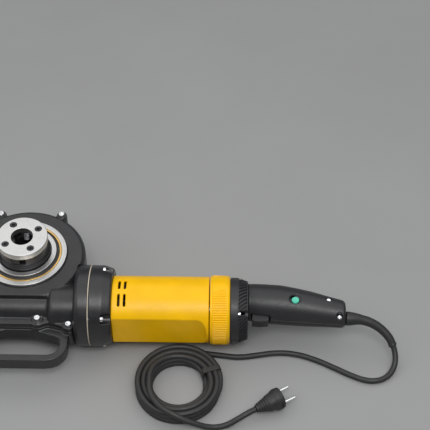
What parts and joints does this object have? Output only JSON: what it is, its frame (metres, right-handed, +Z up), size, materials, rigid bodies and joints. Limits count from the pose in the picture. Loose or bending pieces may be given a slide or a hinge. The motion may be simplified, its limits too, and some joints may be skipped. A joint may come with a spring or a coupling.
{
  "type": "pipe threading machine",
  "caption": "Hand-held electric pipe threading machine lying on its side, die head upwards, with a loop handle, yellow motor and black grip.",
  "frame": {"origin": "middle of the underside of the machine without its cord, on the surface it lies on", "axes": "+X along the motor from the die head towards the grip, +Y away from the loop handle, +Z up along the die head axis"},
  "size_m": [0.6165, 0.3228, 0.126],
  "materials": {
    "black_casting": "satin black enamel over a fine sand-cast grain",
    "yellow_plastic": "warm yellow moulded housing, semi-gloss",
    "black_plastic": "satin black glass-filled plastic",
    "bright_steel": "turned and ground bright steel",
    "black_oxide_steel": "black oxide, slightly oily",
    "brass": "turned yellow metal",
    "zinc_plate": "bright zinc plate",
    "copper": "turned copper segments",
    "carbon": "pressed carbon",
    "gasket_paper": "light gasket paper",
    "teal_plastic": "teal button",
    "cord_rubber": "black rubber"
  },
  "bodies": {
    "machine": {"gear_housing_base": "black_casting", "gear_housing_cover": "black_casting", "gearbox_case": "black_casting", "motor_flange": "black_casting", "motor_housing": "yellow_plastic", "rear_cap": "black_plastic", "grip_upper": "black_plastic", "grip_lower": "black_plastic", "switch_block": "black_plastic", "worm_bearing_left": "bright_steel", "worm_bearing_right": "bright_steel", "armature_bearing_front": "bright_steel", "armature_bearing_rear": "bright_steel", "stator": "black_oxide_steel", "ring_bush_upper": "brass", "ring_bush_lower": "brass", "housing_screw_1": "zinc_plate", "housing_screw_2": "zinc_plate", "housing_screw_3": "zinc_plate", "housing_screw_4": "zinc_plate", "collar_screw_1": "zinc_plate", "collar_screw_2": "zinc_plate", "collar_screw_3": "zinc_plate", "collar_screw_4": "zinc_plate", "grip_screw_1": "zinc_plate", "grip_screw_2": "zinc_plate", "trigger_pin": "zinc_plate", "trigger_spring": "zinc_plate", "carbon_brush_1": "carbon", "carbon_brush_2": "carbon", "gearbox_gasket": "gasket_paper", "strain_relief": "cord_rubber", "mains_cord": "cord_rubber", "cord_coil": "cord_rubber", "cord_tail": "cord_rubber", "mains_plug": "cord_rubber"},
    "drive_ring": {"ring_gear": "bright_steel", "die_head_retaining_ring": "brass"},
    "adapter": {"adapter_ring": "bright_steel"},
    "die_head": {"die_head_body": "black_oxide_steel", "die_head_cover": "bright_steel", "die_cover_screw_1": "black_oxide_steel", "die_cover_screw_2": "black_oxide_steel", "die_cover_screw_3": "black_oxide_steel", "die_cover_screw_4": "black_oxide_steel", "chaser_1": "bright_steel", "chaser_2": "bright_steel", "chaser_3": "bright_steel", "chaser_4": "bright_steel"},
    "worm": {"worm_shaft": "bright_steel", "worm_shaft_gear": "bright_steel"},
    "intermediate_shaft": {"layshaft": "bright_steel", "layshaft_gear": "bright_steel"},
    "armature": {"armature_shaft": "bright_steel", "armature_core": "bright_steel", "commutator": "copper", "cooling_fan": "black_plastic"},
    "direction_selector": {"direction_ring": "yellow_plastic"},
    "trigger_lever": {"trigger": "black_plastic"},
    "release_button": {"safety_button": "teal_plastic"}
  },
  "joints": [
    {"name": "ring_drive", "type": "hinge", "parent": "machine", "child": "drive_ring", "pos_m": [-0.18475, 0.036, 0.054], "axis": [0, 0, 1], "continuous": true},
    {"name": "adapter_pull", "type": "slide", "parent": "drive_ring", "child": "adapter", "axis": [0, 0, 1], "range_m": [0, 0.045]},
    {"name": "die_head_pull", "type": "slide", "parent": "adapter", "child": "die_head", "axis": [0, 0, 1], "range_m": [0, 0.045]},
    {"name": "worm_turn", "type": "hinge", "parent": "machine", "child": "worm", "pos_m": [-0.18475, -0.034, 0.054], "axis": [1, 0, 0], "continuous": true},
    {"name": "layshaft_turn", "type": "hinge", "parent": "machine", "child": "intermediate_shaft", "pos_m": [-0.09475, -0.004, 0.054], "axis": [1, 0, 0], "continuous": true},
    {"name": "armature_turn", "type": "hinge", "parent": "machine", "child": "armature", "pos_m": [0.00525, -0.034, 0.054], "axis": [1, 0, 0], "continuous": true},
    {"name": "direction_turn", "type": "hinge", "parent": "machine", "child": "direction_selector", "pos_m": [0.09525, -0.034, 0.054], "axis": [1, 0, 0], "range_deg": [-20, 20]},
    {"name": "trigger_pull", "type": "hinge", "parent": "machine", "child": "trigger_lever", "pos_m": [0.16725, -0.0425, 0.054], "axis": [0, 0, -1], "range_deg": [0, 8], "stiffness_Nm_per_rad": 0.6, "springref_deg": -5.73, "deforming": ["trigger_spring"]},
    {"name": "button_press", "type": "slide", "parent": "machine", "child": "release_button", "axis": [0, 0, -1], "range_m": [0, 0.0022], "stiffness_N_per_m": 400, "springref_m": -0.002}
  ],
  "couplings": [
    {"joint": "worm_turn", "follows": "ring_drive", "ratio": -36},
    {"joint": "layshaft_turn", "follows": "ring_drive", "ratio": 94.909},
    {"joint": "armature_turn", "follows": "ring_drive", "ratio": -474.55}
  ]
}
